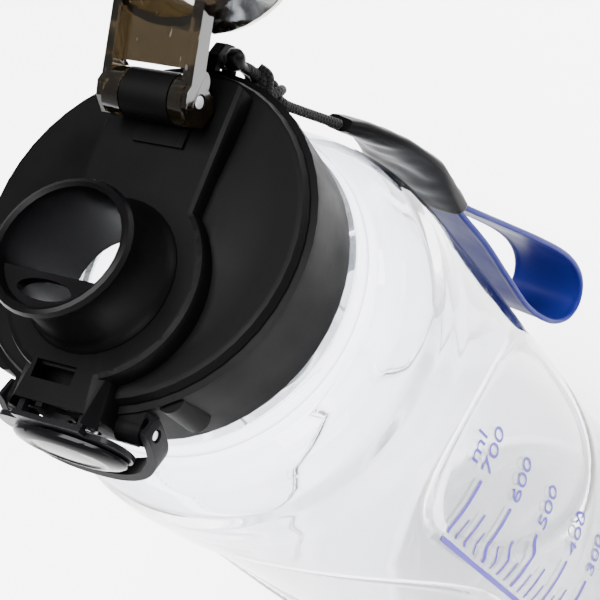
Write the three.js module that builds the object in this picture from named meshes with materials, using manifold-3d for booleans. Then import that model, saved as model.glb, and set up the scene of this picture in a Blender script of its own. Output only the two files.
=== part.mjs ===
import * as THREE from 'three';
import { mergeVertices } from 'three/addons/utils/BufferGeometryUtils.js';
import Module from 'manifold-3d';

const wasm = await Module();
wasm.setup();

// Sports drink bottle with a screw cap, shown with its flip lid open. Millimetres, +Z up along
// the bottle, the latch button at the front (-Y), the lid hinge and the carry strap at the rear.

// ---------------------------------------------------------------- driving dimensions
const capBase = 212; // height of the cap's lower edge above the table
const gap = 0.3; // clearance between pieces that touch or are pinned together
const aroundBottle = 40;
const aroundCap = 48;

// bottle: height, radius at the four upright creases, radius at the middle of each panel
const creaseTurn = 55; // the first crease, in degrees round from the front
const outerRows = [
  [0, 36.5, 36.5], [2.0, 39.8, 39.5], [6.5, 42.3, 41.2], [14, 42.9, 41.2], [34, 42.9, 41.0],
  [52, 42.6, 40.2], [64, 42.3, 39.6], [74, 42.5, 40.2], [84, 42.8, 41.0], [98, 42.9, 41.2],
  [110, 42.9, 41.2], [122, 42.9, 41.2], [134, 42.9, 41.2], [146, 42.9, 41.2],
  [156, 42.8, 41.1], [165, 42.7, 41.1], [174, 42.6, 41.2], [182, 42.3, 41.6],
  [188.4, 41.4, 41.2], [190.4, 40.6, 40.5], [195, 39.4, 39.3], [200, 37.3, 37.3],
  [204, 34.6, 34.6], [205.6, 32.9, 32.9], [206.6, 33.4, 33.4], [208.6, 33.4, 33.4],
  [209.2, 32.9, 32.9], [209.9, 32.9, 32.9], [210.0, 27.0, 27.0], [227.0, 27.0, 27.0],
];
const innerRows = [
  [227.0, 25.2, 25.2], [206, 25.2, 25.2], [202.5, 28.5, 28.5], [197.5, 35.6, 35.6],
  [189.5, 38.8, 38.7], [182, 40.1, 39.5], [174, 40.6, 39.2], [165, 40.7, 39.1],
  [156, 40.8, 39.1], [146, 40.9, 39.2], [134, 40.9, 39.2], [122, 40.9, 39.2],
  [110, 40.9, 39.2], [98, 40.9, 39.2], [84, 40.8, 39.0], [64, 40.3, 37.6], [52, 40.6, 38.2],
  [34, 40.9, 39.0], [14, 40.9, 39.2], [7.5, 40.2, 39.2], [4.2, 38.0, 37.6], [3.0, 35.0, 35.0],
];
const recessDepth = 1.6;
const recessHeight = 120; // middle of each panel's slanting oval hollow
const recessLong = 50;
const recessShort = 26;
const recessLean = 27; // degrees from upright

// thread between neck and cap
const neckRadius = 27.0;
const threadLead = 6;
const threadTurns = 1.25;
const capBore = 29.2;

// cap
const capLower = 32.0;
const capUpper = 33.4;
const rimHeight = 20.2;
const ceiling = 17.6;
const padTop = 24.6;
const padHalf = 12.8;
const padRound = 19.4;

// spout
const spoutY = -10.9;
const spoutFoot = 13.4;
const spoutLip = 12.9;
const spoutTilt = 6.5; // degrees, front edge higher
const boreHole = 11.9;

// lid hinge, in the cap's frame
const hingeY = 21.2;
const hingeZ = 30.0;
const hingeHalf = 9.5;
const barrelLeft = -4.6;
const barrelRight = 5.4;
const barrelRadius = 4.5;
const lidOpen = 157;

// latch
const tongueFront = -34.8;
const hornFront = -36.4;
const buttonZ = 14.5;
const buttonY = -38.0;
const buttonTilt = 4;
const buttonWide = 12.0;
const buttonHigh = 6.9;
const ringPivotY = -33.4;
const ringPivotZ = 15.0;
const ringLean = 65; // degrees below level, with the ring down

// carry strap
const eyeY = 35.8;
const eyeZ = 15.5;
const cordRadius = 1.0;
const strapTurn = 9; // degrees that the strap hangs round from the back
const strapMiddleX = 3.75;
const strapWidth = 19.6;
const strapThick = 1.3;

// ---------------------------------------------------------------- shape helpers
const rad = (degrees) => degrees * Math.PI / 180;
const v3 = (x, y, z) => new THREE.Vector3(x, y, z);

function clean(geometry) {
  const g = geometry.clone();
  g.deleteAttribute('normal');
  g.deleteAttribute('uv');
  const merged = mergeVertices(g, 1e-4);
  const ids = Array.from(merged.index.array);
  const kept = [];
  for (let i = 0; i < ids.length; i += 3) {
    const [a, b, c] = ids.slice(i, i + 3);
    if (a !== b && b !== c && c !== a) kept.push(a, b, c);
  }
  merged.setIndex(kept);
  return merged;
}

function solid(geometry) {
  const g = clean(geometry);
  return new wasm.Manifold(new wasm.Mesh({
    numProp: 3,
    vertProperties: new Float32Array(g.attributes.position.array),
    triVerts: new Uint32Array(g.index.array),
  }));
}

function geometryOf(body) {
  const mesh = body.getMesh();
  const g = new THREE.BufferGeometry();
  g.setAttribute('position', new THREE.Float32BufferAttribute(mesh.vertProperties, 3));
  g.setIndex(Array.from(mesh.triVerts));
  return g;
}

const join = (...bodies) => bodies.reduce((a, b) => a.add(b));
const cut = (body, ...tools) => tools.reduce((a, b) => a.subtract(b), body);

// turned shape: pairs of radius and height, about an upright axis at (x, y)
function turned(pairs, sides = aroundCap, x = 0, y = 0) {
  const g = new THREE.LatheGeometry(pairs.map(([r, z]) => new THREE.Vector2(r, z)), sides);
  g.rotateX(Math.PI / 2);
  g.translate(x, y, 0);
  return g;
}

function box(x0, x1, y0, y1, z0, z1) {
  const g = new THREE.BoxGeometry(x1 - x0, y1 - y0, z1 - z0);
  g.translate((x0 + x1) / 2, (y0 + y1) / 2, (z0 + z1) / 2);
  return g;
}

// round bar along X
function barX(radius, x0, x1, y, z, sides = 24) {
  const g = new THREE.CylinderGeometry(radius, radius, x1 - x0, sides);
  g.rotateZ(Math.PI / 2);
  g.translate((x0 + x1) / 2, y, z);
  return g;
}

function barY(radius, y0, y1, x, z, sides = 24) {
  const g = new THREE.CylinderGeometry(radius, radius, y1 - y0, sides);
  g.translate(x, (y0 + y1) / 2, z);
  return g;
}

function barZ(radius, z0, z1, x, y, sides = 40) {
  const g = new THREE.CylinderGeometry(radius, radius, z1 - z0, sides);
  g.rotateX(Math.PI / 2);
  g.translate(x, y, (z0 + z1) / 2);
  return g;
}

// flat outline in Y and Z, made thick along X
function slabX(points, x0, x1) {
  const shape = new THREE.Shape(points.map(([y, z]) => new THREE.Vector2(y, z)));
  const g = new THREE.ExtrudeGeometry(shape, { depth: x1 - x0, bevelEnabled: false });
  const turn = new THREE.Matrix4().set(0, 0, 1, x0, 1, 0, 0, 0, 0, 1, 0, 0, 0, 0, 0, 1);
  g.applyMatrix4(turn);
  return g;
}

// flat outline in X and Z, made thick along Y
function slabY(points, y0, y1) {
  const shape = new THREE.Shape(points.map(([x, z]) => new THREE.Vector2(x, z)));
  const g = new THREE.ExtrudeGeometry(shape, { depth: y1 - y0, bevelEnabled: false });
  g.rotateX(Math.PI / 2);
  g.translate(0, y1, 0);
  return g;
}

// rings of equal count joined one to the next, with a fan over the first and the last, or with
// the last joined to the first
function skin(rings, endless = false) {
  const count = rings[0].length;
  const positions = [];
  const index = [];
  const starts = [];
  for (const ring of rings) {
    starts.push(positions.length / 3);
    for (const p of ring) positions.push(p.x, p.y, p.z);
  }
  for (let r = 0; r + (endless ? 0 : 1) < rings.length; r += 1) {
    const next = (r + 1) % rings.length;
    for (let i = 0; i < count; i += 1) {
      const j = (i + 1) % count;
      const [a, b] = [starts[r] + i, starts[r] + j];
      const [c, d] = [starts[next] + i, starts[next] + j];
      index.push(a, b, d, a, d, c);
    }
  }
  const ends = endless ? [] : [[0, true], [rings.length - 1, false]];
  for (const [ring, flip] of ends) {
    const middle = rings[ring].reduce((s, p) => s.clone().add(p), v3(0, 0, 0)).divideScalar(count);
    const m = positions.length / 3;
    positions.push(middle.x, middle.y, middle.z);
    for (let i = 0; i < count; i += 1) {
      const j = (i + 1) % count;
      const [a, b] = [starts[ring] + i, starts[ring] + j];
      if (flip) index.push(m, b, a);
      else index.push(m, a, b);
    }
  }
  const g = new THREE.BufferGeometry();
  g.setAttribute('position', new THREE.Float32BufferAttribute(positions, 3));
  g.setIndex(index);
  return g;
}

// a round cord along a smooth curve
function cord(points, radius, steps, sides = 8) {
  const round = new THREE.Shape();
  round.absarc(0, 0, radius, 0, Math.PI * 2, false);
  const path = new THREE.CatmullRomCurve3(points);
  return new THREE.ExtrudeGeometry(round, {
    steps, curveSegments: sides / 2, bevelEnabled: false, extrudePath: path,
  });
}

// helical ridge: root and crest radius, height of its start, direction the crest points by size
function threadRidge(root, crest, z0, phase) {
  const steps = 30;
  const rings = [];
  for (let i = 0; i <= steps; i += 1) {
    const t = i / steps;
    const a = phase + t * threadTurns * 2 * Math.PI;
    const z = z0 + t * threadTurns * threadLead;
    const rise = Math.min(1, 8 * t + 0.15, 8 * (1 - t) + 0.15);
    const tip = root + (crest - root) * rise;
    const ring = [[root, -1.3], [root, 1.3], [tip, 0.55], [tip, -0.55]].map(([r, dz]) => (
      v3(r * Math.cos(a), r * Math.sin(a), z + dz)));
    rings.push(crest > root ? ring : ring.reverse());
  }
  return skin(rings);
}

function ellipse(a, b, sides, part = 1) {
  const points = [];
  const last = part === 1 ? sides - 1 : sides;
  for (let i = 0; i <= last; i += 1) {
    const t = Math.PI + (i / sides) * 2 * Math.PI * part;
    points.push([a * Math.cos(t), b * Math.sin(t)]);
  }
  return points;
}

// ---------------------------------------------------------------- bottle
// radius at a height and a turn: four flattish panels between creases, each with a shallow
// slanting oval hollow
function bottleRadius(row, turn, inner) {
  const [z, crease, flat] = row;
  const across = ((turn - creaseTurn) % 90 + 90) % 90;
  const bulge = Math.sin(rad(across * 2));
  const mean = crease + (flat - crease) * bulge;
  const u = rad(across - 45) * mean;
  const w = z - recessHeight;
  const lean = rad(recessLean);
  const along = -u * Math.sin(lean) + w * Math.cos(lean);
  const aside = u * Math.cos(lean) + w * Math.sin(lean);
  const inside = 1 - Math.hypot(along / recessLong, aside / recessShort);
  const deep = Math.max(0, Math.min(1, inside * 5));
  return mean - recessDepth * deep * (inner ? 0.9 : 1);
}

function bottleRing(row, inner = false) {
  const ring = [];
  for (let i = 0; i < aroundBottle; i += 1) {
    const turn = creaseTurn + i * 360 / aroundBottle;
    const r = bottleRadius(row, turn, inner);
    ring.push(v3(r * Math.sin(rad(turn)), -r * Math.cos(rad(turn)), row[0]));
  }
  return ring;
}

const bottleRings = outerRows.map((row) => bottleRing(row));
bottleRings.push(...innerRows.map((row) => bottleRing(row, true)));
const neckThread = threadRidge(neckRadius - 0.6, neckRadius + 1.6, capBase + 3.2, 0);
const bottleBody = join(solid(skin(bottleRings)), solid(neckThread));

// ---------------------------------------------------------------- seal in the cap's ceiling
const neckSeal = turned([[25.2, 15.4], [28.6, 15.4], [28.6, 17.3], [25.2, 17.3], [25.2, 15.4]]);

// ---------------------------------------------------------------- cap
const capTurned = turned([
  [0, ceiling], [capBore, ceiling], [capBore, 1.2], [30.2, 0], [capLower, 0], [32.3, 1.0],
  [capUpper, 16.4], [capUpper, 17.8], [32.2, 18.2], [32.2, 18.8], [32.0, 19.2],
  [31.6, rimHeight], [30.6, 20.5], [27, 20.2], [22, 20.6], [16, 21.4], [0, 21.6],
]);

function padOutline(half, round, inset) {
  const shape = new THREE.Shape();
  const meet = Math.asin(half / round);
  shape.moveTo(-half, 29 - inset);
  shape.lineTo(-half, spoutY + round * Math.cos(meet));
  shape.absarc(0, spoutY, round, Math.PI / 2 + meet, Math.PI / 2 - meet + 2 * Math.PI, false);
  shape.lineTo(half, 29 - inset);
  return shape;
}
const padShape = new THREE.ExtrudeGeometry(padOutline(padHalf - 1.2, padRound - 1.2, 1.2), {
  depth: 3.4, bevelEnabled: true, bevelThickness: 1.2, bevelSize: 1.2, bevelSegments: 2,
  curveSegments: 36,
});
padShape.translate(0, 0, padTop - 4.6);
const padTrim = barZ(30.4, 18, 26, 0, 0, aroundCap);
const pad = solid(padShape).intersect(solid(padTrim));

function tongueRing(y, top) {
  return [[-9.4, 8], [-9.2, padTop - 2.2], [-top, padTop], [top, padTop], [9.2, padTop - 2.2],
    [9.4, 8]].map(([x, z]) => v3(x, y, z));
}
const tongueBlock = skin([tongueRing(hornFront, 7.7), tongueRing(-18, 4.6)]);
const hornGap = join(
  solid(box(-7.6, 7.6, hornFront - 1, tongueFront, 6, 26)),
  solid(box(-12, 12, hornFront - 1, tongueFront, 6, 21.4)),
);
const tongue = cut(solid(tongueBlock), hornGap);
const tonguePocket = box(-7.5, 7.5, tongueFront - 1, -24.2, 18.9, 23.2);
const tongueRib = box(-2.6, -1.2, hornFront + 0.8, tongueFront + 1.4, 22.4, 24.3);
const catchSlot = box(-5.6, 2.8, -31, -27.6, 22, 26);
const springHole = barY(3.3, tongueFront - 1, -30.9, 0, 12.2);

const barrelWeb = box(barrelLeft, barrelRight, hingeY - 3.4, hingeY + 3.4, 22, hingeZ);
const barrel = join(solid(barX(barrelRadius, barrelLeft, barrelRight, hingeY, hingeZ, 28)),
  solid(barrelWeb));
const lipLedge = box(-4.6, 6.0, 14.3, 18, 24, 25.3);
const pinHole = barX(1.5, -20, 20, hingeY, hingeZ, 16);

const lugs = [];
const lugHoles = [];
for (const side of [-1, 1]) {
  const [x0, x1] = side < 0 ? [-14.2, -9.2] : [9.2, 14.2];
  lugs.push(solid(barX(2.4, x0, x1, ringPivotY, ringPivotZ, 20)));
  lugs.push(solid(box(x0, x1, ringPivotY, -28.5, ringPivotZ - 2.2, ringPivotZ + 2.2)));
  lugs.push(solid(barZ(2.6, 7, 17, side * 17.6, -27.0, 16)));
  const [h0, h1] = side < 0 ? [-15, -10.3] : [10.3, 15];
  lugHoles.push(solid(barX(1.4, h0, h1, ringPivotY, ringPivotZ, 16)));
}

const eyeLug = join(
  solid(slabX([[31.5, 11.2], [eyeY, eyeZ - 3.8], [eyeY + 3, eyeZ - 2.5], [eyeY + 3.9, eyeZ],
    [eyeY + 3, eyeZ + 2.5], [eyeY, eyeZ + 3.6], [31.5, 18]], -1.2, 1.2)),
);
const eyeHole = barX(2.3, -3, 3, eyeY, eyeZ, 16);
const ridge = threadRidge(capBore + 0.6, capBore - 1.7, 3.2 - threadLead / 2 + 1.4, 0);

const capShell = cut(
  join(solid(capTurned), pad, tongue, barrel, solid(lipLedge), ...lugs, eyeLug),
  solid(barZ(capBore, -5, ceiling, 0, 0, aroundCap)), solid(tonguePocket), solid(catchSlot),
  solid(springHole), solid(pinHole), ...lugHoles, solid(eyeHole),
  solid(barZ(boreHole, 10, 30, 0, spoutY)),
);
const capWhole = join(capShell, solid(ridge), solid(tongueRib));

// ---------------------------------------------------------------- spout
const spoutTurned = turned([
  [10.9, 15.6], [11.6, 15.6], [11.6, 24.9], [14.6, 24.9], [14.2, 25.7], [spoutFoot, 26.8],
  [12.5, 31], [12.3, 34.5], [13.0, 36.6], [13.3, 37.6], [spoutLip, 38.6], [12.2, 38.9],
  [11.5, 38.4], [11.1, 36.5], [10.9, 30], [10.9, 22], [10.9, 15.6],
], 36, 0, 0);

// lean of the lip: the upper part is sheared so that its front edge stands higher
function leanSpout(geometry) {
  const p = geometry.attributes.position;
  for (let i = 0; i < p.count; i += 1) {
    const share = Math.max(0, (p.getZ(i) - 27) / 11);
    p.setZ(i, p.getZ(i) - p.getY(i) * Math.tan(rad(spoutTilt)) * Math.min(1, share));
    p.setY(i, p.getY(i) + spoutY - 0.7 * Math.min(1, share));
  }
  return geometry;
}
const shelf = new THREE.Shape();
shelf.absarc(0, 0, 11.3, Math.PI + 0.42, 2 * Math.PI - 0.42, false);
const lens = new THREE.Path();
lens.absellipse(0, -7.7, 5.6, 1.9, 0, 2 * Math.PI, true);
shelf.holes.push(lens);
const shelfBody = new THREE.ExtrudeGeometry(shelf, {
  depth: 2.0, bevelEnabled: false, curveSegments: 20,
});
shelfBody.translate(0, 0, 34.6);
const spout = join(solid(leanSpout(spoutTurned)), solid(leanSpout(shelfBody)));

// ---------------------------------------------------------------- lid, drawn closed
const railLow = hingeZ - 3.4;
const rail = [[hingeY - 2.5, railLow], [4.4, railLow], [4.4, 29.9], [hingeY - 3, 30.2],
  [hingeY - 1.2, 33.8], [hingeY + 1.5, 34.3], [hingeY + 4.4, 31.8], [hingeY + 4.2, 28.2],
  [hingeY + 1.4, 25.8], [hingeY - 1.2, 25.6]];
const wing = [[3, 28.4], [-10, 28.4], [-10, 31.6], [3, 31.2]];
const lidParts = [];
for (const side of [-1, 1]) {
  const [x0, x1] = side < 0 ? [-hingeHalf, -7.6] : [7.3, hingeHalf];
  const [e0, e1] = side < 0 ? [-8.4, barrelLeft - gap] : [barrelRight + gap, 8.4];
  const [l0, l1] = side < 0 ? [-hingeHalf, -7.6] : [7.6, hingeHalf];
  lidParts.push(solid(slabX(rail, x0, x1)));
  lidParts.push(solid(slabX(wing, side < 0 ? -14.5 : 9.0, side < 0 ? -9.0 : 14.5)));
  lidParts.push(solid(barX(4.5, e0, e1, hingeY, hingeZ, 24)));
  lidParts.push(solid(barX(2.1, l0, l1, hingeY - 3.3, hingeZ - 0.1, 20)));
}
const panel = box(-8, 8, -2, hingeY - 5.3, 28.5, 29.8);
const domeY = -9.4;
const domeOuter = turned([
  [0, 28.4], [18.6, 28.4], [18.6, 40.0], [18.0, 43.0], [16.0, 45.0], [12.8, 46.0], [0, 46.3],
], 36, 0, domeY);
const domeInner = turned([
  [0, 27], [17.2, 27], [17.2, 39.8], [16.6, 42.0], [15.0, 43.6], [12.4, 44.5], [0, 44.8],
], 36, 0, domeY);
const frontPlate = slabX([[-24, 28.4], [-24, 31.4], [-31.0, 30.6], [-33.0, 27.4],
  [-37.2, 26.6], [-37.6, 25.6], [-37.2, 25.0], [-26.6, 25.0], [-26.6, 28.4]], -6.6, 6.6);
const hook = slabX([[-28.3, 26], [-28.3, 21.3], [-27.4, 20.9], [-28.2, 19.6], [-29.8, 19.4],
  [-30.4, 20.4], [-30.4, 26]], -5.1, 2.3);
const lidClosed = cut(
  join(...lidParts, solid(panel), solid(domeOuter), solid(frontPlate), solid(hook)),
  solid(domeInner), solid(pinHole),
);
const sealClosed = turned([
  [0, 41.4], [10.9, 41.4], [11.6, 40.9], [12.6, 40.9], [12.9, 41.4], [12.9, 42.4],
  [11.8, 43.2], [11.4, 44.2], [0, 44.5],
], 36, 0, spoutY + 0.2);

function openLid(geometry) {
  geometry.translate(0, -hingeY, -hingeZ);
  geometry.rotateX(-rad(lidOpen));
  geometry.translate(0, hingeY, hingeZ);
  return geometry;
}

const hingePin = barX(1.2, -hingeHalf + 0.2, hingeHalf - 0.1, hingeY, hingeZ, 16);

// ---------------------------------------------------------------- latch button
// oval plate and dome, leaning back at the top; the plate's arms carry a bar behind the hook
function leanButton(geometry) {
  geometry.rotateX(-rad(buttonTilt));
  geometry.translate(0, buttonY, buttonZ);
  return geometry;
}
const plateEdge = [];
for (let i = 0; i <= 8; i += 1) {
  const a = i / 8 * Math.PI / 2;
  plateEdge.push([10.2 + 3.4 * Math.sin(a), 1.5 + 5.1 * Math.cos(a)]);
}
for (let i = 1; i <= 12; i += 1) {
  const a = i / 12 * Math.PI / 2;
  plateEdge.push([13.6 * Math.cos(a), 1.5 - 8.8 * Math.sin(a)]);
}
const plateOutline = [[-7.3, 9.1], [7.3, 9.1], [7.3, 6.6], ...plateEdge,
  ...plateEdge.slice(0, -1).reverse().map(([x, z]) => [-x, z]), [-7.3, 6.6]];
const plateBody = leanButton(slabY(plateOutline, -0.5, 0.5));
const armZ = [21.6, 22.9];
const latchPlate = join(
  solid(plateBody),
  solid(box(-7.1, -5.9, -37.4, -26.4, ...armZ)),
  solid(box(5.9, 7.1, -37.4, -26.4, ...armZ)),
  solid(box(-7.1, 7.1, -28.0, -26.4, ...armZ)),
);
const domeRings = [[0, 1.0], [-0.7, 0.985], [-1.3, 0.9], [-1.7, 0.76], [-1.8, 0.68],
  [-1.5, 0.62], [-1.7, 0.42]].map(([y, s]) => (
  ellipse(buttonWide * s, buttonHigh * s, 32).map(([x, z]) => v3(x, y, z))));
const buttonDome = leanButton(skin(domeRings).translate(0.4, -0.5 - gap, -0.1));
const springTurns = 4;
const springPath = [];
for (let i = 0; i <= springTurns * 10; i += 1) {
  const a = i / 10 * 2 * Math.PI;
  springPath.push(v3(2.3 * Math.cos(a), -31.7 - i / (springTurns * 10) * 4.2,
    12.2 + 2.3 * Math.sin(a)));
}
const latchSpring = cord(springPath, 0.35, springTurns * 12, 6);

// ---------------------------------------------------------------- safety ring round the button
function lowerRing(geometry) {
  geometry.rotateX(-rad(90 - ringLean));
  geometry.translate(0, ringPivotY, ringPivotZ);
  return geometry;
}
function halfLoop(half, length, count) {
  const points = [];
  for (let i = 0; i <= count; i += 1) {
    const a = Math.PI * (1 + i / count);
    const [c, d] = [Math.cos(a), Math.sin(a)];
    const bend = 1 / Math.pow(Math.abs(c) ** 2.4 + Math.abs(d) ** 2.4, 1 / 2.4);
    points.push([half * c * bend, (length - 0.8) * d * bend - 0.8]);
  }
  return points;
}
const ringOutline = [
  ...halfLoop(16.5, 13.0, 28), [16.5, 1.2], [15.9, 2.3], [15.1, 2.3], [14.8, 1.2],
  ...halfLoop(14.8, 11.4, 28).reverse(), [-14.8, 1.2], [-15.1, 2.3], [-15.9, 2.3], [-16.5, 1.2],
];
const ringBody = lowerRing(slabY(ringOutline, -2.1, 2.1));
const lockRing = cut(solid(ringBody),
  solid(barX(1.2, -18, 18, ringPivotY, ringPivotZ, 16)));
const ringPins = [-1, 1].map((side) => {
  const [x0, x1] = side < 0 ? [-16.1, -10.6] : [10.6, 16.1];
  return barX(0.9, x0, x1, ringPivotY, ringPivotZ, 16);
});

// ---------------------------------------------------------------- carry strap
// a point of the strap: across it, out from the bottle's axis, and up
function hung(across, out, z) {
  const a = rad(strapTurn);
  return v3(across * Math.cos(a) + out * Math.sin(a), out * Math.cos(a) - across * Math.sin(a), z);
}
const loopPath = [v3(3.6, 37.3, 10.9), v3(2.9, 37.3, 13.0), v3(1.7, 36.3, 14.8),
  v3(0, eyeY, eyeZ), v3(-2.4, 36.5, 15.1), v3(-3.2, 38.4, 13.6), v3(-2.2, 39.7, 11.2),
  v3(-0.6, 39.2, 8.2)];
const cordLoop = cord(loopPath, cordRadius, 20);
const knotBall = new THREE.IcosahedronGeometry(2.1, 2).translate(3.9, 36.0, 17.7);
const knotBody = turned([[0, -4.6], [1.6, -4.5], [2.6, -3.3], [2.2, -1.6], [2.8, 0],
  [2.3, 1.7], [2.6, 3.0], [1.7, 4.2], [0, 4.4]], 14);
knotBody.rotateX(rad(4)).rotateY(rad(-6)).translate(3.1, 37.1, 5.2);
function strandPath(side) {
  const apart = side * 1.15;
  return [hung(-2.5 + apart, 37.5, -0.8), hung(-2.0 + apart, 37.9, -2.4),
    hung(-0.9 + apart, 39.3, -6.8), hung(0.4 + apart, 40.9, -11.6),
    hung(1.6 + apart, 42.1, -14.6)];
}

// sleeve: narrow where the cords enter, flat and wide with an open mouth for the strap;
// each row is out, z, middle, half width, half depth and how far the bottle side is cut back
const sleeveLine = [[42.5, -15.6, 2.0, 2.9, 1.6, 0.2], [44.2, -20, 3.0, 4.6, 2.0, 1.4],
  [46.6, -28.5, 3.5, 8.3, 2.2, 3.0], [47.8, -38, 3.75, 10.6, 2.3, 2.2],
  [47.3, -46.2, 3.75, 10.95, 2.4, 0.3], [46.8, -54.5, 3.75, 10.95, 2.45, 0.2]];
function sleeveRing([out, z, middle, half, deep, back], shrink) {
  const a = half - shrink;
  const b = deep - shrink;
  const corner = Math.min(a, b) * 0.3;
  const outline = [[a - back, -b + corner], [a, b - corner], [a - corner, b], [-a + corner, b],
    [-a, b - corner], [-a, -b + corner], [-a + corner, -b], [a - corner - back, -b]];
  return outline.reverse().map(([x, w]) => hung(middle + x, out + w * 0.99, z - w * 0.1));
}
const sleeveInner = sleeveLine.slice(4).map((row) => sleeveRing(row, 0.7));
const strapSleeve = skin([
  ...sleeveLine.map((row) => sleeveRing(row, 0)),
  ...sleeveInner.reverse(),
]);

// strap: one closed band, its two ends lying together inside the sleeve
const strapMiddle = new THREE.CatmullRomCurve3([
  [47.2, -47.7], [48.02, -49.0], [47.85, -51.2], [47.68, -54.8], [48.4, -59.0], [53.1, -75.8],
  [58.7, -96], [62.2, -111], [62.9, -121], [61.2, -127.6], [57.2, -131.0], [52.4, -129.2],
  [48.1, -121.4], [45.6, -107], [46.0, -90], [46.6, -74], [46.3, -62], [46.03, -54.8],
  [46.2, -51.2], [46.38, -49.0],
].map(([out, z]) => v3(0, out, z)), true, 'centripetal');
const strapRings = [];
const strapSteps = 72;
for (let i = 0; i < strapSteps; i += 1) {
  const p = strapMiddle.getPointAt(i / strapSteps);
  const t = strapMiddle.getTangentAt(i / strapSteps);
  const [ny, nz] = [t.z * strapThick / 2, -t.y * strapThick / 2];
  const [x0, x1] = [strapMiddleX - strapWidth / 2, strapMiddleX + strapWidth / 2];
  strapRings.push([hung(x1, p.y - ny, p.z - nz), hung(x1, p.y + ny, p.z + nz),
    hung(x0, p.y + ny, p.z + nz), hung(x0, p.y - ny, p.z - nz)]);
}
const strapBand = skin(strapRings, true);

// ---------------------------------------------------------------- assembly
const bottle = new THREE.Group();
bottle.name = 'sports_bottle';

function place(name, shape, colour, roughness, metalness = 0, lift = capBase) {
  const geometry = shape.getMesh ? geometryOf(shape) : clean(shape);
  geometry.translate(0, 0, lift);
  geometry.computeVertexNormals();
  const material = new THREE.MeshStandardMaterial({ color: colour, roughness, metalness });
  const mesh = new THREE.Mesh(geometry, material);
  mesh.name = name;
  bottle.add(mesh);
}

place('bottle_body', bottleBody, 0xe8edf0, 0.08, 0, 0);
place('neck_seal', neckSeal, 0xd8d8d4, 0.7);
place('cap_shell', capWhole, 0x141415, 0.62);
place('spout', spout, 0x121213, 0.5);
place('hinge_pin', hingePin, 0xb4b4b4, 0.35, 1);
place('lid_shell', openLid(geometryOf(lidClosed)), 0x2c2317, 0.12);
place('lid_seal', openLid(sealClosed), 0x2a2a2c, 0.7);
place('latch_plate', latchPlate, 0x161617, 0.45);
place('button_dome', buttonDome, 0x0b0b0c, 0.15);
place('latch_spring', latchSpring, 0xa8a8aa, 0.35, 1);
place('lock_ring', lockRing, 0x1a1a1b, 0.3);
place('ring_pin_left', ringPins[0], 0x5a5a5c, 0.35, 1);
place('ring_pin_right', ringPins[1], 0x5a5a5c, 0.35, 1);
place('cord_loop', cordLoop, 0x0e0e0f, 0.9);
place('cord_ball', knotBall, 0x101011, 0.9);
place('cord_knot', knotBody, 0x101011, 0.9);
place('cord_strand_left', cord(strandPath(-1), cordRadius, 12), 0x0e0e0f, 0.9);
place('cord_strand_right', cord(strandPath(1), cordRadius, 12), 0x0e0e0f, 0.9);
place('strap_sleeve', strapSleeve, 0x1b1b1c, 0.55);
place('strap_band', strapBand, 0x2337a8, 0.5);

export default bottle;
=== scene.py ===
import bmesh
import bpy
import math
from mathutils import Matrix, Vector, noise


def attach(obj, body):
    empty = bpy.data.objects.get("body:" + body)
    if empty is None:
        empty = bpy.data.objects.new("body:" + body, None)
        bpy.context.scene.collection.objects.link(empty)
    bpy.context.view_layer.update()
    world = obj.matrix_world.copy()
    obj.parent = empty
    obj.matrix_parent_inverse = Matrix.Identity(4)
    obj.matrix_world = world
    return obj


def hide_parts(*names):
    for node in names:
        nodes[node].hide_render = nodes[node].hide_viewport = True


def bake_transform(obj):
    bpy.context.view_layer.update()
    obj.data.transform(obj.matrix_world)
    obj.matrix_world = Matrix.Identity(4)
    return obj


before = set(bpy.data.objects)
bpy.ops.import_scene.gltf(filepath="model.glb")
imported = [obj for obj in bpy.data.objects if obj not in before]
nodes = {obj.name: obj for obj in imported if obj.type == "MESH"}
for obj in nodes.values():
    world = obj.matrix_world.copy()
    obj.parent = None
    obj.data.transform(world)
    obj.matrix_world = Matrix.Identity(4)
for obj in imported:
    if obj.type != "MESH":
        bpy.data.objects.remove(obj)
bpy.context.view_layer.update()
capBase = 0.212
mm = 0.001


# camera
def placeCamera(view):
    around, above, roll = (math.radians(view[k]) for k in ("around", "above", "roll"))
    back = Vector((math.sin(around) * math.cos(above), -math.cos(around) * math.cos(above),
                   math.sin(above)))
    level = Vector((math.cos(around), math.sin(around), 0))
    upward = back.cross(level)
    right = level * math.cos(roll) + upward * math.sin(roll)
    top = upward * math.cos(roll) - level * math.sin(roll)
    data = bpy.data.cameras.new("camera")
    data.sensor_width = 36
    data.lens = view["lens"]
    data.clip_start = 0.01
    camera = bpy.data.objects.new("camera", data)
    bpy.context.scene.collection.objects.link(camera)
    place = Matrix((right, top, back)).transposed().to_4x4()
    place.translation = Vector(view["target"]) + back * view["distance"]
    camera.matrix_world = place
    bpy.context.scene.camera = camera


placeCamera({"around": 62.6, "above": 56.4, "roll": -45.7, "distance": 0.3111,
             "lens": 105.32, "target": (0.0241, -0.0001, 0.212)})
print("camera placed")


# helpers for meshes
def newPiece(name, bm, material, smooth=True):
    bmesh.ops.recalc_face_normals(bm, faces=bm.faces)
    mesh = bpy.data.meshes.new(name)
    bm.to_mesh(mesh)
    bm.free()
    for polygon in mesh.polygons:
        polygon.use_smooth = smooth
    mesh.materials.append(material)
    piece = bpy.data.objects.new(name, mesh)
    bpy.context.scene.collection.objects.link(piece)
    return piece


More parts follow.
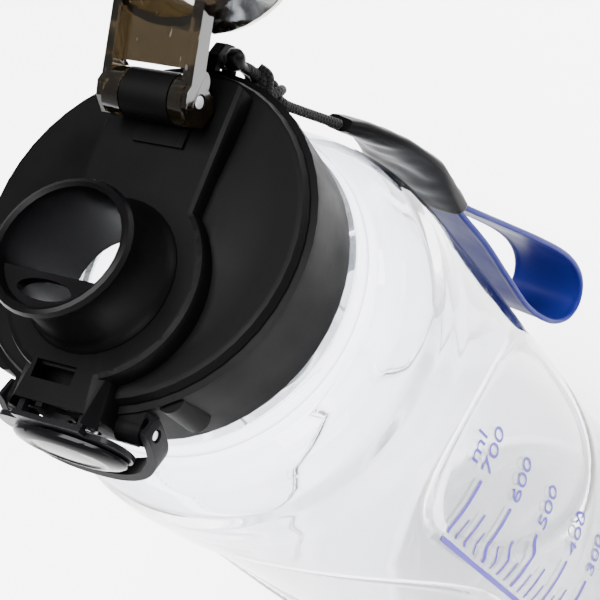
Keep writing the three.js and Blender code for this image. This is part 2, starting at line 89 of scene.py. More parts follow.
def smoothPath(points, steps, closed=False):
    path = []
    count = len(points)
    spans = count if closed else count - 1
    for i in range(spans):
        if closed:
            a, b, c, d = (points[(i + k) % count] for k in (-1, 0, 1, 2))
        else:
            a, b, c, d = (points[min(max(i + k, 0), count - 1)] for k in (-1, 0, 1, 2))
        for j in range(steps):
            t = j / steps
            path.append(0.5 * (2 * b + (c - a) * t + (2 * a - 5 * b + 4 * c - d) * t * t
                               + (3 * b - a - 3 * c + d) * t ** 3))
    if not closed:
        path.append(points[-1].copy())
    return path


def evenPath(path, step, closed=False):
    loop = path + [path[0]] if closed else path
    lengths = [0]
    for a, b in zip(loop, loop[1:]):
        lengths.append(lengths[-1] + (b - a).length)
    count = max(4, round(lengths[-1] / step))
    even = []
    k = 0
    for i in range(count if closed else count + 1):
        want = lengths[-1] * i / count
        while k < len(loop) - 2 and lengths[k + 1] < want:
            k += 1
        share = (want - lengths[k]) / max(1e-9, lengths[k + 1] - lengths[k])
        even.append(loop[k].lerp(loop[k + 1], share))
    return even


def pathLength(path):
    return sum((b - a).length for a, b in zip(path, path[1:]))


def addTube(bm, path, radius, sides=14, closed=False):
    layer = bm.loops.layers.uv.verify()
    count = len(path)
    normal = None
    rings = []
    for i, point in enumerate(path):
        ahead = path[(i + 1) % count] if closed else path[min(i + 1, count - 1)]
        behind = path[(i - 1) % count] if closed else path[max(i - 1, 0)]
        tangent = (ahead - behind).normalized()
        if normal is None:
            normal = tangent.orthogonal().normalized()
        normal = (normal - tangent * normal.dot(tangent)).normalized()
        side = tangent.cross(normal)
        rings.append([bm.verts.new(point + radius * (normal * math.cos(a) + side * math.sin(a)))
                      for a in (2 * math.pi * j / sides for j in range(sides))])
    total = pathLength(path)
    spans = count if closed else count - 1
    for i in range(spans):
        low, high = rings[i], rings[(i + 1) % count]
        for j in range(sides):
            k = (j + 1) % sides
            face = bm.faces.new((low[j], low[k], high[k], high[j]))
            for loop, (du, dv) in zip(face.loops, ((0, 0), (0, 1), (1, 1), (1, 0))):
                loop[layer].uv = ((i + du) * total / spans * 500, (j + dv) / sides)
    if not closed:
        bm.faces.new(rings[0])
        bm.faces.new(rings[-1])


def bridgeRings(bm, rings, closed=False):
    made = [[bm.verts.new(p) for p in ring] for ring in rings]
    around = len(made[0])
    pairs = list(zip(made, made[1:] + ([made[0]] if closed else [])))
    for low, high in pairs:
        for j in range(around):
            k = (j + 1) % around
            bm.faces.new((low[j], low[k], high[k], high[j]))
    return made


# shared shader groups
def newGroup(name, inputs, outputs):
    tree = bpy.data.node_groups.new(name, "ShaderNodeTree")
    for label, value in inputs.items():
        socket = tree.interface.new_socket(label, in_out="INPUT", socket_type="NodeSocketFloat")
        socket.default_value = value
    for label, kind in outputs.items():
        tree.interface.new_socket(label, in_out="OUTPUT", socket_type=kind)
    return tree, tree.nodes.new("NodeGroupInput"), tree.nodes.new("NodeGroupOutput")


def addNode(tree, kind, settings=None, values=None, links=None):
    node = tree.nodes.new(kind)
    for key, value in (settings or {}).items():
        setattr(node, key, value)
    for key, value in (values or {}).items():
        node.inputs[key].default_value = value
    for key, source in (links or {}).items():
        tree.links.new(source, node.inputs[key])
    return node


def makeSurfaceGroup():
    tree, given, out = newGroup(
        "surfaceGrain", {"Grain Scale": 1800, "Grain Depth": 0.2, "Scratch Depth": 0.1},
        {"Mottle": "NodeSocketFloat", "Scratch": "NodeSocketFloat", "Normal": "NodeSocketVector"})
    place = addNode(tree, "ShaderNodeTexCoord").outputs["Object"]
    grain = addNode(tree, "ShaderNodeTexNoise", values={"Detail": 3, "Roughness": 0.6},
                    links={"Vector": place, "Scale": given.outputs["Grain Scale"]})
    mottle = addNode(tree, "ShaderNodeTexNoise",
                     values={"Scale": 90, "Detail": 4, "Roughness": 0.55},
                     links={"Vector": place})
    stretch = addNode(tree, "ShaderNodeMapping",
                      values={"Rotation": (0.5, 0.7, 0.3), "Scale": (1, 0.04, 0.6)},
                      links={"Vector": place})
    lines = addNode(tree, "ShaderNodeTexNoise", values={"Scale": 1500, "Detail": 2},
                    links={"Vector": stretch.outputs["Vector"]})
    scratch = addNode(tree, "ShaderNodeMapRange",
                      values={"From Min": 0.66, "From Max": 0.74},
                      links={"Value": lines.outputs["Fac"]})
    fine = addNode(tree, "ShaderNodeBump", values={"Distance": 0.0001},
                   links={"Height": grain.outputs["Fac"],
                          "Strength": given.outputs["Grain Depth"]})
    scored = addNode(tree, "ShaderNodeBump", settings={"invert": True},
                     values={"Distance": 0.00005},
                     links={"Height": scratch.outputs["Result"],
                            "Strength": given.outputs["Scratch Depth"],
                            "Normal": fine.outputs["Normal"]})
    tree.links.new(mottle.outputs["Fac"], out.inputs["Mottle"])
    tree.links.new(scratch.outputs["Result"], out.inputs["Scratch"])
    tree.links.new(scored.outputs["Normal"], out.inputs["Normal"])
    return tree


def makeBraidGroup():
    tree, given, out = newGroup(
        "braidedCord", {"Turns": 4, "Pitch": 2.6, "Depth": 0.8},
        {"Shade": "NodeSocketFloat", "Normal": "NodeSocketVector"})
    place = addNode(tree, "ShaderNodeTexCoord").outputs["UV"]
    split = addNode(tree, "ShaderNodeSeparateXYZ", links={"Vector": place})
    along = addNode(tree, "ShaderNodeMath", settings={"operation": "MULTIPLY"},
                    links={0: split.outputs["X"], 1: given.outputs["Pitch"]})
    wound = addNode(tree, "ShaderNodeMath", settings={"operation": "MULTIPLY"},
                     links={0: split.outputs["Y"], 1: given.outputs["Turns"]})
    waves = []
    for way in ("ADD", "SUBTRACT"):
        mixed = addNode(tree, "ShaderNodeMath", settings={"operation": way},
                        links={0: along.outputs[0], 1: wound.outputs[0]})
        wrapped = addNode(tree, "ShaderNodeMath", settings={"operation": "PINGPONG"},
                          values={1: 0.5}, links={0: mixed.outputs[0]})
        waves.append(wrapped.outputs[0])
    ribs = addNode(tree, "ShaderNodeMath", settings={"operation": "MAXIMUM"},
                   links={0: waves[0], 1: waves[1]})
    # painted shade: the grooves between the braid's strands get a darker colour and the ridges a
    # lighter one
    shade = addNode(tree, "ShaderNodeMapRange", values={"From Min": 0.15, "From Max": 0.5},
                    links={"Value": ribs.outputs[0]})
    bump = addNode(tree, "ShaderNodeBump", values={"Distance": 0.00025},
                   links={"Height": shade.outputs["Result"], "Strength": given.outputs["Depth"]})
    tree.links.new(shade.outputs["Result"], out.inputs["Shade"])
    tree.links.new(bump.outputs["Normal"], out.inputs["Normal"])
    return tree


surfaceGroup = makeSurfaceGroup()
braidGroup = makeBraidGroup()


def newMaterial(name):
    material = bpy.data.materials.new(name)
    material.use_nodes = True
    tree = material.node_tree
    return material, tree, tree.nodes["Principled BSDF"]


def addTint(tree, factor, dark, light):
    tint = addNode(tree, "ShaderNodeMix", settings={"data_type": "RGBA"},
                   links={"Factor": factor})
    tint.inputs[6].default_value = (*dark, 1)
    tint.inputs[7].default_value = (*light, 1)
    return tint.outputs[2]


def surfaceMaterial(name, look):
    material, tree, shader = newMaterial(name)
    grain = addNode(tree, "ShaderNodeGroup", settings={"node_tree": surfaceGroup},
                    values={"Grain Scale": look["grainScale"], "Grain Depth": look["grain"],
                            "Scratch Depth": look.get("scratch", 0.1)})
    tint = addTint(tree, grain.outputs["Mottle"], look["dark"], look["light"])
    tree.links.new(tint, shader.inputs["Base Color"])
    low, high = look["rough"]
    spread = addNode(tree, "ShaderNodeMapRange",
                     values={"From Min": 0.3, "From Max": 0.7, "To Min": low, "To Max": high},
                     links={"Value": grain.outputs["Mottle"]})
    worn = addNode(tree, "ShaderNodeMath", settings={"operation": "MULTIPLY_ADD"},
                   values={1: look.get("wear", 0.08)},
                   links={0: grain.outputs["Scratch"], 2: spread.outputs["Result"]})
    tree.links.new(worn.outputs[0], shader.inputs["Roughness"])
    tree.links.new(grain.outputs["Normal"], shader.inputs["Normal"])
    for key, value in look.get("shader", {}).items():
        shader.inputs[key].default_value = value
    return material


def braidMaterial(name, look):
    material, tree, shader = newMaterial(name)
    braid = addNode(tree, "ShaderNodeGroup", settings={"node_tree": braidGroup})
    # base colour runs from the dark groove colour to the light ridge colour, painted shade in the
    # braid's grooves
    tint = addTint(tree, braid.outputs["Shade"], look["dark"], look["light"])
    tree.links.new(tint, shader.inputs["Base Color"])
    tree.links.new(braid.outputs["Normal"], shader.inputs["Normal"])
    shader.inputs["Roughness"].default_value = look["rough"]
    shader.inputs["Sheen Weight"].default_value = 0.02
    shader.inputs["Specular IOR Level"].default_value = 0.1
    return material


looks = {
    "capBlack": {"dark": (0.0005, 0.0005, 0.00055), "light": (0.0009, 0.0009, 0.001),
                 "rough": (0.40, 0.54), "grainScale": 2600, "grain": 0.16, "scratch": 0.12,
                 "shader": {"Specular IOR Level": 0.02}},
    "spoutBlack": {"dark": (0.0006, 0.0005, 0.0006), "light": (0.001, 0.0009, 0.001),
                   "rough": (0.30, 0.40), "grainScale": 2200, "grain": 0.06,
                   "shader": {"Specular IOR Level": 0.03}},
    "satinBlack": {"dark": (0.0014, 0.0014, 0.0016), "light": (0.0024, 0.0024, 0.0027),
                   "rough": (0.24, 0.36), "grainScale": 2600, "grain": 0.10,
                   "shader": {"Specular IOR Level": 0.035}},
    "glossBlack": {"dark": (0.001, 0.001, 0.0012), "light": (0.0016, 0.0016, 0.0019),
                   "rough": (0.10, 0.18), "grainScale": 900, "grain": 0.02, "wear": 0.2,
                   "shader": {"Specular IOR Level": 0.05}},
    "smokedAmber": {"dark": (0.011, 0.0075, 0.0032), "light": (0.015, 0.0102, 0.0046),
                    "rough": (0.05, 0.11), "grainScale": 900, "grain": 0.02, "wear": 0.2,
                    "shader": {"Transmission Weight": 0.93, "IOR": 1.49, "Specular IOR Level": 0.25}},
    "sealSilicone": {"dark": (0.020, 0.020, 0.022), "light": (0.03, 0.03, 0.032),
                     "rough": (0.5, 0.62), "grainScale": 2000, "grain": 0.1},
    "paleSilicone": {"dark": (0.62, 0.62, 0.60), "light": (0.72, 0.72, 0.70),
                     "rough": (0.45, 0.6), "grainScale": 2000, "grain": 0.1,
                     "shader": {"Subsurface Weight": 0.15, "Subsurface Scale": 0.001}},
    "pinSteel": {"dark": (0.30, 0.30, 0.31), "light": (0.40, 0.40, 0.41),
                 "rough": (0.22, 0.36), "grainScale": 3000, "grain": 0.12, "scratch": 0.5,
                 "shader": {"Metallic": 1.0}},
    "sleeveBlack": {"dark": (0.0007, 0.0007, 0.0008), "light": (0.0013, 0.0013, 0.0015),
                    "rough": (0.3, 0.44), "grainScale": 1500, "grain": 0.22, "wear": 0.12,
                    "shader": {"Specular IOR Level": 0.05}},
    "blueSilicone": {"dark": (0.0040, 0.0058, 0.068), "light": (0.0055, 0.008, 0.088),
                     "rough": (0.38, 0.52), "grainScale": 1700, "grain": 0.12,
                     "shader": {"Subsurface Weight": 0.1, "Subsurface Scale": 0.0012,
                                "Specular IOR Level": 0.05}},
    "printViolet": {"dark": (0.026, 0.010, 0.19), "light": (0.034, 0.015, 0.24),
                    "rough": (0.4, 0.55), "grainScale": 2600, "grain": 0.1,
                    "shader": {"Specular IOR Level": 0.1}},
}
materials = {name: surfaceMaterial(name, look) for name, look in looks.items()}
materials["cordBlack"] = braidMaterial(
    "cordBlack", {"dark": (0.0006, 0.0006, 0.0006), "light": (0.0035, 0.0035, 0.004), "rough": 0.7})


def clearMaterial():
    material, tree, shader = newMaterial("clearBody")
    grain = addNode(tree, "ShaderNodeGroup", settings={"node_tree": surfaceGroup},
                    values={"Grain Scale": 60, "Grain Depth": 0.25, "Scratch Depth": 0.12})
    tint = addTint(tree, grain.outputs["Mottle"], (0.86, 0.875, 0.905), (0.885, 0.90, 0.93))
    # painted shade: the base colour turns dark grey-blue where the surface is seen at a glancing
    # angle, standing in for the dark rims that refraction gives
    layer = addNode(tree, "ShaderNodeLayerWeight", values={"Blend": 0.5})
    glancingShade = addNode(tree, "ShaderNodeMapRange", values={"From Min": 0.45, "From Max": 0.92},
                    links={"Value": layer.outputs["Facing"]})
    edge = addNode(tree, "ShaderNodeMix", settings={"data_type": "RGBA"},
                   links={"Factor": glancingShade.outputs["Result"]})
    tree.links.new(tint, edge.inputs[6])
    edge.inputs[7].default_value = (0.17, 0.185, 0.215, 1)
    tree.links.new(edge.outputs[2], shader.inputs["Base Color"])
    haze = addNode(tree, "ShaderNodeMapRange", values={"To Min": 0.02, "To Max": 0.12},
                   links={"Value": grain.outputs["Scratch"]})
    tree.links.new(haze.outputs["Result"], shader.inputs["Roughness"])
    tree.links.new(grain.outputs["Normal"], shader.inputs["Normal"])
    shader.inputs["Transmission Weight"].default_value = 1.0
    shader.inputs["IOR"].default_value = 1.45
    return material


materials["clearBody"] = clearMaterial()
print("materials made")


# carry strap lines, as in the CAD: across, out from the bottle's axis, and up from the cap
strapTurn = math.radians(9)


def hung(across, out, up):
    return Vector((across * math.cos(strapTurn) + out * math.sin(strapTurn),
                   out * math.cos(strapTurn) - across * math.sin(strapTurn),
                   capBase / mm + up)) * mm


def capPoint(x, y, z):
    return Vector((x, y, capBase / mm + z)) * mm


# carry cord: out of the sleeve, up through the knot, round the eyelet and back again
def makeCord(riders):
    cordSize = {"diameter": 0.002, "step": 0.0004}
    left = [hung(0.45, 42.1, -15.2), hung(-0.75, 40.9, -11.6), hung(-2.05, 39.3, -6.8),
            hung(-3.15, 37.9, -2.4), hung(-3.5, 37.5, 0.2)]
    over = [capPoint(3.9, 37.5, 6.5), capPoint(3.7, 37.5, 9.6), capPoint(3.4, 37.3, 12.0),
            capPoint(2.2, 36.6, 14.4), capPoint(0.2, 35.8, 15.5), capPoint(-2.0, 36.2, 15.1),
            capPoint(-3.3, 38.0, 13.2), capPoint(-2.6, 39.4, 10.9), capPoint(-0.6, 39.3, 8.6),
            capPoint(1.4, 38.1, 6.4)]
    right = [hung(-1.3, 37.5, 0.2), hung(-0.85, 37.9, -2.4), hung(0.25, 39.3, -6.8),
             hung(1.55, 40.9, -11.6), hung(2.75, 42.1, -15.2)]
    route = evenPath(smoothPath(left + over + right, 10), cordSize["step"])
    bm = bmesh.new()
    addTube(bm, route, cordSize["diameter"] / 2, 14)
    piece = newPiece("carry_cord", bm, materials["cordBlack"])
    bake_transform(piece)
    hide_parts("cord_loop", "cord_strand_left", "cord_strand_right")


# knot: the cord's wraps, packed close and a little askew
def makeKnot():
    knot = {"middle": capPoint(3.1, 37.1, 5.2), "cord": 0.00102}
    bm = bmesh.new()
    for up, reach, tip, turn in ((-3.1, 1.75, 16, 20), (-1.2, 1.95, -12, 80),
                                 (0.75, 1.9, 15, 150), (2.6, 1.6, -18, 210)):
        ring = []
        for i in range(40):
            a = 2 * math.pi * i / 40
            spot = Vector((reach * math.cos(a), reach * math.sin(a) * 0.9,
                           up + 0.25 * math.sin(3 * a)))
            hinge = Vector((math.cos(turn), math.sin(turn), 0))
            tilt = Matrix.Rotation(math.radians(tip), 3, hinge)
            spot = tilt @ (spot - Vector((0, 0, up))) + Vector((0, 0, up))
            ring.append(knot["middle"] + spot * mm)
        addTube(bm, ring, knot["cord"], 12, closed=True)
    cross = [Vector(p) for p in ((-1.6, -2.2, -3.6), (-2.6, -1.0, -1.6), (-2.2, -2.3, 0.6),
                                 (-0.4, -2.8, 2.2), (1.7, -1.9, 3.4))]
    addTube(bm, evenPath(smoothPath([knot["middle"] + p * mm for p in cross], 8), 0.0004),
            knot["cord"], 12)
    cross = [Vector(p) for p in ((1.9, 1.7, -3.5), (2.9, 0.4, -1.4), (2.4, -1.3, 0.8),
                                 (2.2, 1.2, 2.6), (0.4, 2.0, 3.9))]
    addTube(bm, evenPath(smoothPath([knot["middle"] + p * mm for p in cross], 8), 0.0004),
            knot["cord"], 12)
    piece = newPiece("knot_wraps", bm, materials["cordBlack"])
    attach(piece, "cap")
    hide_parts("cord_knot")
    return piece


# melted bead on the cord's free end
def makeBead():
    bead = {"middle": capPoint(3.9, 36.0, 17.7), "radius": 0.0021, "lump": 0.00022}
    bm = bmesh.new()
    bmesh.ops.create_icosphere(bm, subdivisions=4, radius=bead["radius"])
    for vert in bm.verts:
        away = vert.co.normalized()
        vert.co += away * bead["lump"] * noise.noise(vert.co * 900)
        if away.z < -0.55:
            vert.co += Vector((-0.35, 0, -1.6)) * mm * (-0.55 - away.z) ** 1.5
    bmesh.ops.translate(bm, verts=bm.verts, vec=bead["middle"])
    tail = [capPoint(3.7, 36.1, 16.2), capPoint(3.2, 36.7, 13.4), capPoint(3.3, 37.3, 10.6),
            capPoint(3.2, 37.1, 8.2)]
    addTube(bm, evenPath(smoothPath(tail, 8), 0.0004), 0.00098, 12)
    piece = newPiece("cord_bead", bm, materials["sleeveBlack"])
    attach(piece, "cap")
    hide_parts("cord_ball")
    return piece


makeCord([makeKnot(), makeBead()])
print("cord, knot and bead made")


# rubber sleeve: narrow at the cords, flat and wide where the strap comes out
sleeveLine = [(42.5, -15.6, 2.0, 2.9, 1.6, 0.2), (44.2, -20, 3.0, 4.6, 2.0, 1.4),
              (46.6, -28.5, 3.5, 8.3, 2.2, 3.0), (47.8, -38, 3.75, 10.6, 2.3, 2.2),
              (47.3, -46.2, 3.75, 10.95, 2.4, 0.3), (46.8, -54.5, 3.75, 10.95, 2.45, 0.2)]


def sleeveRows(count):
    rows = []
    for i in range(count + 1):
        t = i / count * (len(sleeveLine) - 1)
        k = min(int(t), len(sleeveLine) - 2)
        t -= k
        last = len(sleeveLine) - 1
        four = [sleeveLine[min(max(k + j, 0), last)] for j in (-1, 0, 1, 2)]
        rows.append([0.5 * (2 * b + (c - a) * t + (2 * a - 5 * b + 4 * c - d) * t * t
                            + (3 * b - a - 3 * c + d) * t ** 3) for a, b, c, d in zip(*four)])
    return rows


def sleeveRing(row, shrink, folds):
    out, up, middle, half, deep, back = row
    a = half - shrink
    b = deep - shrink
    ring = []
    for i in range(96):
        turn = 2 * math.pi * i / 96
        c, s = math.cos(turn), math.sin(turn)
        power = 3.6
        size = (abs(c) ** power + abs(s) ** power) ** (-1 / power)
        x = a * c * size
        w = b * s * size
        if w < 0:
            x -= math.copysign(back, x) * min(1, abs(x) / a) * min(1, -w / b)
        seam = math.exp(-((abs(x) - a) / 0.5) ** 2)
        crease = folds * (noise.noise(Vector((x * 0.16, up * 0.3, 3.1 * math.copysign(1, w))))
                          + 0.4 * math.sin(up * 0.55 + x * 0.45) * math.exp(-((up + 33) / 8) ** 2))
        w += crease * (1 - seam) * math.copysign(1, w) * min(1, abs(w))
        ring.append(hung(middle + x, out + w * 0.99, up - w * 0.1))
    return ring


def makeSleeve():
    rows = sleeveRows(60)
    bm = bmesh.new()
    outer = [sleeveRing(row, 0, 0.3) for row in rows]
    lip = sleeveRing(rows[-1], 0.35, 0.0)
    lip = [p + Vector((0, 0, -0.0003)) for p in lip]
    inner = [sleeveRing(row, 0.75, 0.0) for row in reversed(rows[48:])]
    made = bridgeRings(bm, outer + [lip] + inner)
    for ring in (made[0], made[-1]):
        bm.faces.new(ring)
    bmesh.ops.inset_region(bm, faces=[f for f in bm.faces if len(f.verts) > 4],
                           thickness=0.0004)
    piece = newPiece("sleeve_moulded", bm, materials["sleeveBlack"])
    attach(piece, "strap")
    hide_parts("strap_sleeve")


# strap: one band with soft edges and a raised rim, folded back on itself
strapLine = [(47.2, -47.7), (48.02, -49.0), (47.85, -51.2), (47.68, -54.8), (48.4, -59.0),
             (53.1, -75.8), (58.7, -96), (62.2, -111), (62.9, -121), (61.2, -127.6),
             (57.2, -131.0), (52.4, -129.2), (48.1, -121.4), (45.6, -107), (46.0, -90),
             (46.6, -74), (46.3, -62), (46.03, -54.8), (46.2, -51.2), (46.38, -49.0)]


def makeStrap():
    strap = {"middle": 3.75, "width": 19.6, "thick": 1.3, "rim": 0.16, "step": 0.9}
    half = strap["width"] / 2
    floor = strap["rim"] - 0.5
    turned = [(half - 0.5, 0.5), (half - 0.14, 0.36), (half, 0), (half - 0.14, -0.36),
              (half - 0.5, -0.5)]
    face = [(half - 1.1, -0.5), (half - 1.5, floor), (half - 2.1, floor), (0, floor),
            (2.1 - half, floor), (1.5 - half, floor), (1.1 - half, -0.5)]
    section = turned + face + [(-x, -w) for x, w in turned + face]
    line = [Vector((0, out, up)) for out, up in strapLine]
    path = evenPath(smoothPath(line, 12, True), strap["step"], True)
    rings = []
    for i, point in enumerate(path):
        tangent = (path[(i + 1) % len(path)] - path[i - 1]).normalized()
        away = Vector((0, tangent.z, -tangent.y)) * strap["thick"]
        rings.append([hung(strap["middle"] + x, point.y + away.y * w, point.z + away.z * w)
                      for x, w in section])
    bm = bmesh.new()
    bridgeRings(bm, rings, closed=True)
    piece = newPiece("strap_moulded", bm, materials["blueSilicone"])
    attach(piece, "strap")
    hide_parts("strap_band")


makeSleeve()
makeStrap()
print("sleeve and strap made")


# bottle body: four flattish panels between upright creases, each with a slanting oval hollow
outerRows = [
    (0, 36.5, 36.5), (0.6, 38.2, 38.1), (2.0, 39.8, 39.5), (6.5, 42.3, 41.2),
    (14, 42.9, 41.2), (34, 42.9, 41.0), (52, 42.6, 40.2), (64, 42.3, 39.6), (74, 42.5, 40.2),
    (84, 42.8, 41.0), (98, 42.9, 41.2), (110, 42.9, 41.2), (122, 42.9, 41.2),
    (134, 42.9, 41.2), (146, 42.9, 41.2), (156, 42.8, 41.1), (165, 42.7, 41.1),
    (174, 42.6, 41.2), (182, 42.3, 41.6), (188.4, 41.4, 41.2), (190.4, 40.6, 40.5),
    (195, 39.4, 39.3), (200, 37.3, 37.3), (204, 34.6, 34.6), (205.6, 32.9, 32.9)]
collarRows = [
    (205.9, 33.1, 33.1), (206.3, 33.35, 33.35), (207.0, 33.4, 33.4), (208.3, 33.4, 33.4),
    (208.9, 33.2, 33.2), (209.2, 32.9, 32.9), (209.8, 32.8, 32.8), (210.0, 32.3, 32.3),
    (210.0, 28.0, 28.0), (210.3, 27.1, 27.1)]
innerRows = [
    (3.0, 35.0, 35.0), (4.2, 38.0, 37.6), (7.5, 40.2, 39.2), (14, 40.9, 39.2),
    (34, 40.9, 39.0), (52, 40.6, 38.2), (64, 40.3, 37.6), (84, 40.8, 39.0), (98, 40.9, 39.2),
    (110, 40.9, 39.2), (122, 40.9, 39.2), (134, 40.9, 39.2), (146, 40.9, 39.2),
    (156, 40.8, 39.1), (165, 40.7, 39.1), (174, 40.6, 39.2), (182, 40.1, 39.5),
    (189.5, 38.8, 38.7), (197.5, 35.6, 35.6), (202.5, 28.5, 28.5), (206, 25.2, 25.2)]
hollow = {"up": 120, "long": 50, "short": 26, "lean": math.radians(27), "deep": 1.6}
creaseTurn = 55
aroundBottle = 240


def denseRows(rows, step):
    dense = []
    slopes = []
    for i in range(len(rows)):
        a, b, c = rows[max(i - 1, 0)], rows[i], rows[min(i + 1, len(rows) - 1)]
        slope = []
        for k in (1, 2):
            before = (b[k] - a[k]) / max(b[0] - a[0], 1e-6)
            after = (c[k] - b[k]) / max(c[0] - b[0], 1e-6)
            same = before * after > 0
            slope.append(2 * before * after / (before + after) if same else 0)
        slopes.append(slope)
    for i in range(len(rows) - 1):
        (z0, *r0), (z1, *r1) = rows[i], rows[i + 1]
        count = max(1, round((z1 - z0) / step))
        for j in range(count):
            t = j / count
            h = z1 - z0
            row = [z0 + h * t]
            for k in (0, 1):
                row.append((2 * t ** 3 - 3 * t * t + 1) * r0[k] + (3 * t * t - 2 * t ** 3) * r1[k]
                           + (t ** 3 - 2 * t * t + t) * h * slopes[i][k]
                           + (t ** 3 - t * t) * h * slopes[i + 1][k])
            dense.append(row)
    dense.append(list(rows[-1]))
    return dense


def panelRadius(row, turn, inner=False):
    z, crease, flat = row
    across = (turn - creaseTurn) % 90
    s = math.sin(math.radians(across * 2))
    bulge = (math.sqrt(s * s + 0.03) - math.sqrt(0.03)) / (math.sqrt(1.03) - math.sqrt(0.03))
    mean = crease + (flat - crease) * bulge
    u = math.radians(across - 45) * mean
    w = z - hollow["up"]
    along = -u * math.sin(hollow["lean"]) + w * math.cos(hollow["lean"])
    aside = u * math.cos(hollow["lean"]) + w * math.sin(hollow["lean"])
    inside = 1 - math.hypot(along / hollow["long"], aside / hollow["short"])
    t = max(0, min(1, inside * 8 + 0.1))
    return mean - hollow["deep"] * t * t * (3 - 2 * t) * (0.9 if inner else 1)


def bottleRing(row, inner=False, extra=None):
    ring = []
    for i in range(aroundBottle):
        turn = creaseTurn + i * 360 / aroundBottle
        r = panelRadius(row, turn, inner) + (extra(turn) if extra else 0)
        a = math.radians(turn)
        ring.append(Vector((r * math.sin(a), -r * math.cos(a), row[0])) * mm)
    return ring


def threadHeight(z):
    def rise(turn):
        tall = 0
        for k in range(-1, 3):
            share = (turn - creaseTurn) / 360 + k
            if 0 <= share <= 1.25:
                edge = min(1, 8 * share + 0.1, 8 * (1.25 - share) + 0.1)
                near = 1 - abs(z - (capBase / mm + 3.2 + 6 * share)) / 1.25
                tall = max(tall, edge * min(1, max(0, near * 2.2)))
        return 1.45 * tall
    return rise


def makeBottle():
    bm = bmesh.new()
    rings = [bottleRing((1.8, 0.4, 0.4)), bottleRing((1.5, 18, 18)), bottleRing((0.5, 32, 32)),
             bottleRing((0.05, 34.8, 34.8))]
    rings += [bottleRing(row) for row in denseRows(outerRows, 1.6)]
    rings += [bottleRing(row) for row in collarRows]
    for i in range(66):
        z = 210.6 + i * 0.25
        rings.append(bottleRing((z, 27.0, 27.0), extra=threadHeight(z)))
    rings += [bottleRing(row) for row in ((226.9, 26.8, 26.8), (227.0, 26.5, 26.5),
                                          (227.0, 25.7, 25.7), (226.9, 25.35, 25.35),
                                          (226.6, 25.2, 25.2), (216, 25.2, 25.2))]
    rings += [bottleRing(row, True) for row in reversed(denseRows(innerRows, 1.6))]
    rings += [bottleRing(row, True) for row in ((3.3, 30, 30), (3.5, 18, 18), (3.6, 0.4, 0.4))]
    made = bridgeRings(bm, rings)
    for ring in (made[0], made[-1]):
        bm.faces.new(ring)
    piece = newPiece("bottle_clear", bm, materials["clearBody"])
    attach(piece, "bottle")
    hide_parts("bottle_body")


makeBottle()
print("bottle made")


# printed measuring scale, wrapped round the panel's surface
scaleLook = {"turn": 60, "zero": 3.2, "rise": 20.1, "from": 1, "to": 7, "lift": 0.14,
             "skin": 0.06, "girth": 42, "textSize": 7.4, "textX": 14.5, "textDrop": 2.4}


def surfacePoint(turn, z, lift):
    rows = outerRows
    k = max(i for i in range(len(rows) - 1) if rows[i][0] <= z)
    t = (z - rows[k][0]) / (rows[k + 1][0] - rows[k][0])
    row = [z] + [rows[k][j] + (rows[k + 1][j] - rows[k][j]) * t for j in (1, 2)]
    r = panelRadius(row, turn) + lift
    a = math.radians(turn)
    return Vector((r * math.sin(a), -r * math.cos(a), z)) * mm


def scaleTurn(along):
    return scaleLook["turn"] + math.degrees(along / scaleLook["girth"])


def addMark(bm, x0, x1, z0, z1):
    steps = max(2, round((x1 - x0) / 1.0))
    tall = max(1, round((z1 - z0) / 1.0))
    sheets = []
    for lift in (scaleLook["lift"], scaleLook["lift"] + scaleLook["skin"]):
        grid = []
        for j in range(tall + 1):
            z = z0 + (z1 - z0) * j / tall
            turns = [scaleTurn(x0 + (x1 - x0) * i / steps) for i in range(steps + 1)]
            grid.append([bm.verts.new(surfacePoint(turn, z, lift)) for turn in turns])
        sheets.append(grid)
    for grid in sheets:
        for j in range(tall):
            for i in range(steps):
                bm.faces.new((grid[j][i], grid[j][i + 1], grid[j + 1][i + 1], grid[j + 1][i]))
    low, high = sheets
    rim = [(0, i) for i in range(steps)] + [(j, steps) for j in range(tall)]
    rim += [(tall, i) for i in range(steps, 0, -1)] + [(j, 0) for j in range(tall, 0, -1)]
    for a, b in zip(rim, rim[1:] + rim[:1]):
        bm.faces.new((low[a[0]][a[1]], low[b[0]][b[1]], high[b[0]][b[1]], high[a[0]][a[1]]))


def addNumber(bm, text, z):
    curve = bpy.data.curves.new("number", "FONT")
    curve.body = text
    curve.size = scaleLook["textSize"]
    curve.extrude = scaleLook["skin"] / 2
    flat = bpy.data.objects.new("number", curve)
    mesh = bpy.data.meshes.new_from_object(flat)
    start = len(bm.verts)
    bm.from_mesh(mesh)
    bm.verts.ensure_lookup_table()
    for vert in bm.verts[start:]:
        turn = scaleTurn(scaleLook["textX"] + vert.co.x)
        lift = scaleLook["lift"] + scaleLook["skin"] / 2 + vert.co.z
        vert.co = surfacePoint(turn, z + vert.co.y, lift)
    bpy.data.objects.remove(flat)
    bpy.data.curves.remove(curve)
    bpy.data.meshes.remove(mesh)


def makeScale():
    bm = bmesh.new()
    for step in range(scaleLook["from"] * 4, scaleLook["to"] * 4 + 1):
        z = scaleLook["zero"] + scaleLook["rise"] * step / 4
        wide, tall = (13, 1.3) if step % 4 == 0 else (8, 0.9) if step % 2 == 0 else (5, 0.6)
        addMark(bm, 0, wide, z - tall / 2, z + tall / 2)
        if step % 4 == 0:
            addNumber(bm, str(step * 25), z - scaleLook["textDrop"])
    top = scaleLook["zero"] + scaleLook["rise"] * scaleLook["to"]
    addNumber(bm, "ml", top + 5.5)
    addMark(bm, -2.0, -0.9, scaleLook["zero"] + scaleLook["rise"] * 0.75, top + 2)
    piece = newPiece("printed_scale", bm, materials["printViolet"], smooth=False)
    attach(piece, "bottle")


makeScale()
print("scale made")


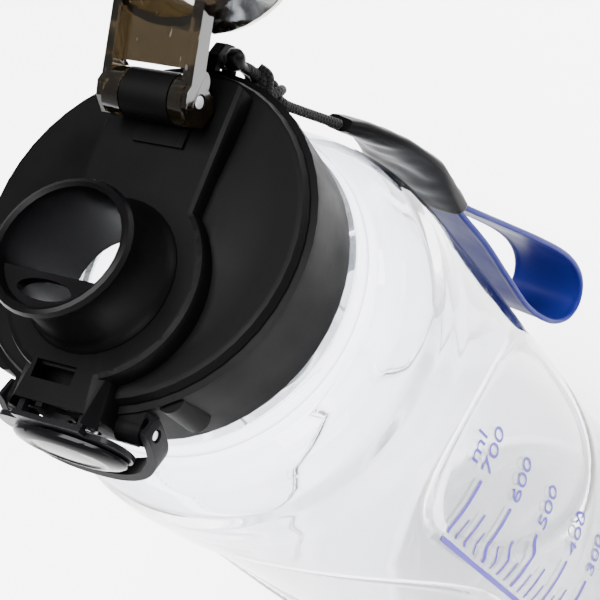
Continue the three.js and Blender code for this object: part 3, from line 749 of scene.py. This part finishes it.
# live shading for the CAD pieces: welded corners, smooth faces, crisp edges
def makeShadingGroup():
    tree = bpy.data.node_groups.new("crispShading", "GeometryNodeTree")
    for way in ("INPUT", "OUTPUT"):
        tree.interface.new_socket("Geometry", in_out=way, socket_type="NodeSocketGeometry")
    given = tree.nodes.new("NodeGroupInput")
    out = tree.nodes.new("NodeGroupOutput")
    plain = addNode(tree, "GeometryNodeRemoveAttribute", values={"Name": "custom_normal"},
                    links={"Geometry": given.outputs[0]})
    weld = addNode(tree, "GeometryNodeMergeByDistance", values={"Distance": 1e-6},
                   links={"Geometry": plain.outputs[0]})
    smooth = addNode(tree, "GeometryNodeSetShadeSmooth", links={"Geometry": weld.outputs[0]})
    angle = addNode(tree, "GeometryNodeInputMeshEdgeAngle")
    sharp = addNode(tree, "FunctionNodeCompare", settings={"operation": "GREATER_THAN"},
                    values={"B": math.radians(34)}, links={"A": angle.outputs[0]})
    crisp = addNode(tree, "GeometryNodeSetShadeSmooth", settings={"domain": "EDGE"},
                    values={"Shade Smooth": False},
                    links={"Geometry": smooth.outputs[0], "Selection": sharp.outputs[0]})
    tree.links.new(crisp.outputs[0], out.inputs[0])
    return tree


shadingGroup = makeShadingGroup()

# hard CAD pieces keep their shape and get rounded edges and a finish
finishes = {"cap_shell": ("capBlack", 0.28), "spout": ("spoutBlack", 0.2),
            "lid_shell": ("smokedAmber", 0.22), "lid_seal": ("sealSilicone", 0.15),
            "neck_seal": ("paleSilicone", 0.15), "hinge_pin": ("pinSteel", 0.12),
            "ring_pin_left": ("pinSteel", 0.1), "ring_pin_right": ("pinSteel", 0.1),
            "latch_plate": ("satinBlack", 0.12), "button_dome": ("glossBlack", 0.12),
            "latch_spring": ("pinSteel", 0), "lock_ring": ("satinBlack", 0.25)}
for name, (finish, edge) in finishes.items():
    part = nodes[name]
    part.data.materials.clear()
    part.data.materials.append(materials[finish])
    part.modifiers.new("shading", "NODES").node_group = shadingGroup
    if edge:
        bevel = part.modifiers.new("edges", "BEVEL")
        bevel.width = edge * mm
        bevel.segments = 2
        bevel.limit_method = "ANGLE"
        bevel.angle_limit = math.radians(38)
    even = part.modifiers.new("evenShading", "WEIGHTED_NORMAL")
    even.keep_sharp = True
    even.weight = 80
print("finishes given")


# floor, world and lights
def makeStudio():
    studio = {"floor": (0.86, 0.865, 0.87), "world": 0.9}
    bm = bmesh.new()
    bmesh.ops.create_grid(bm, x_segments=2, y_segments=2, size=3)
    floor = newPiece("floor", bm, surfaceMaterial(
        "floorPale", {"dark": studio["floor"], "light": (0.9, 0.9, 0.905),
                      "rough": (0.6, 0.8), "grainScale": 800, "grain": 0.05}))
    world = bpy.data.worlds.new("studio")
    world.use_nodes = True
    tree = world.node_tree
    sky = addNode(tree, "ShaderNodeTexCoord").outputs["Generated"]
    parts = addNode(tree, "ShaderNodeSeparateXYZ", links={"Vector": sky})
    ramp = addNode(tree, "ShaderNodeMapRange",
                   values={"From Min": -0.1, "From Max": 0.5, "To Min": 1.3, "To Max": 0.5},
                   links={"Value": parts.outputs["Z"]})
    light = addNode(tree, "ShaderNodeMath", settings={"operation": "MULTIPLY"},
                    values={1: studio["world"]}, links={0: ramp.outputs["Result"]})
    tree.links.new(light.outputs[0], tree.nodes["Background"].inputs["Strength"])
    tree.nodes["Background"].inputs["Color"].default_value = (1, 1, 1, 1)
    bpy.context.scene.world = world
    for name, spot, aim, power, size in (
            ("topLight", (0, 0, 1.7), (0, 0, 0), 240, 1.3),
            ("frontLight", (1.3, -1.1, 0.9), (0, 0, 0.1), 45, 1.0),
            ("sideLight", (1.2, 1.2, 0.7), (0, 0, 0.15), 22, 0.5)):
        lamp = bpy.data.lights.new(name, "AREA")
        lamp.energy = power
        lamp.size = size
        holder = bpy.data.objects.new(name, lamp)
        holder.location = spot
        away = Vector(aim) - Vector(spot)
        holder.rotation_euler = away.to_track_quat("-Z", "Y").to_euler()
        bpy.context.scene.collection.objects.link(holder)


makeStudio()
print("studio set")
